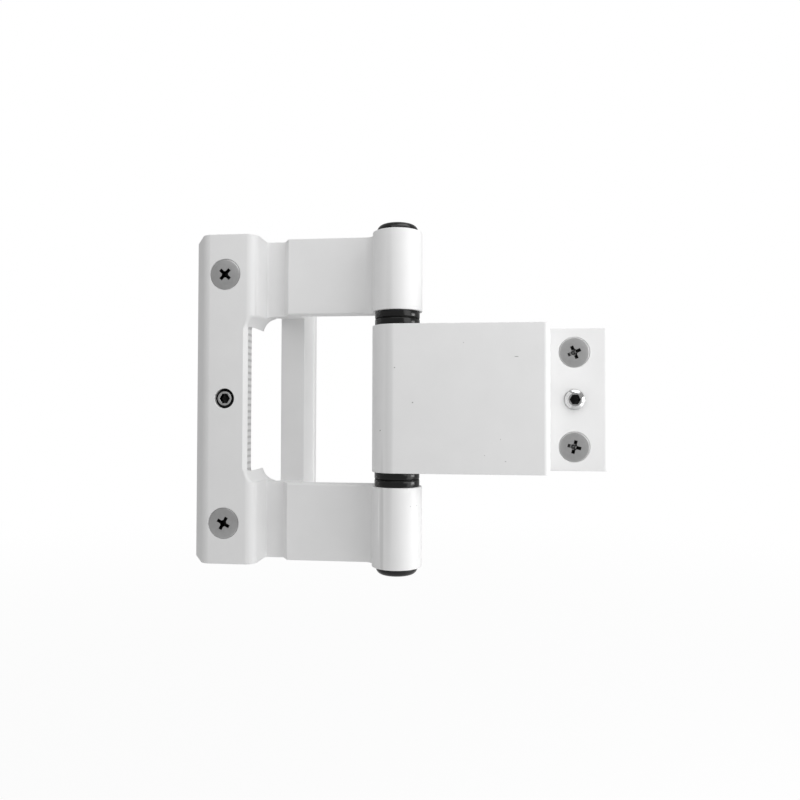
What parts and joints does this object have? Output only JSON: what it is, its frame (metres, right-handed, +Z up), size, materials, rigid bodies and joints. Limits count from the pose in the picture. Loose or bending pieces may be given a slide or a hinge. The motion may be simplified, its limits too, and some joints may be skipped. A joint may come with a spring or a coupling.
{
  "type": "three-knuckle surface-mounted door hinge",
  "caption": "Surface-mounted door hinge: a tall left leaf with a milled window and a short right leaf turn on one pin with flanged bushes; countersunk and set screws fix both leaves.",
  "frame": {"origin": "centre of the left leaf's two fixing screws, on the plane where both leaves meet the door", "axes": "+X along the open leaves from the left leaf to the right one, -Y away from the door, +Z up along the pin"},
  "size_m": [0.1295, 0.0357, 0.1046],
  "materials": {
    "leaf_coat": "satin white powder coat on extruded aluminium",
    "black_nylon": "black nylon, slightly glossy",
    "pin_steel": "ground stainless steel",
    "screw_zinc": "zinc-plated steel",
    "set_screw_steel": "dark zinc-plated steel"
  },
  "bodies": {
    "fixed_leaf": {"left_leaf": "leaf_coat", "hinge_pin": "pin_steel", "upper_plain_bush": "black_nylon", "upper_flanged_bush": "black_nylon", "lower_flanged_bush": "black_nylon", "lower_plain_bush": "black_nylon", "upper_thrust_washer": "set_screw_steel", "lower_thrust_washer": "set_screw_steel", "upper_end_cap": "black_nylon", "lower_end_cap": "black_nylon", "upper_left_screw": "screw_zinc", "lower_left_screw": "screw_zinc", "left_set_screw": "set_screw_steel", "pin_grub_screw": "set_screw_steel"},
    "moving_leaf": {"right_leaf": "leaf_coat", "middle_upper_bush": "black_nylon", "middle_lower_bush": "black_nylon", "upper_right_screw": "screw_zinc", "lower_right_screw": "screw_zinc", "right_set_screw": "set_screw_steel"}
  },
  "joints": [
    {"name": "leaf_fold", "type": "hinge", "parent": "fixed_leaf", "child": "moving_leaf", "pos_m": [0.0523, -0.0122, 0], "axis": [0, 0, -1], "range_deg": [0, 180]}
  ]
}
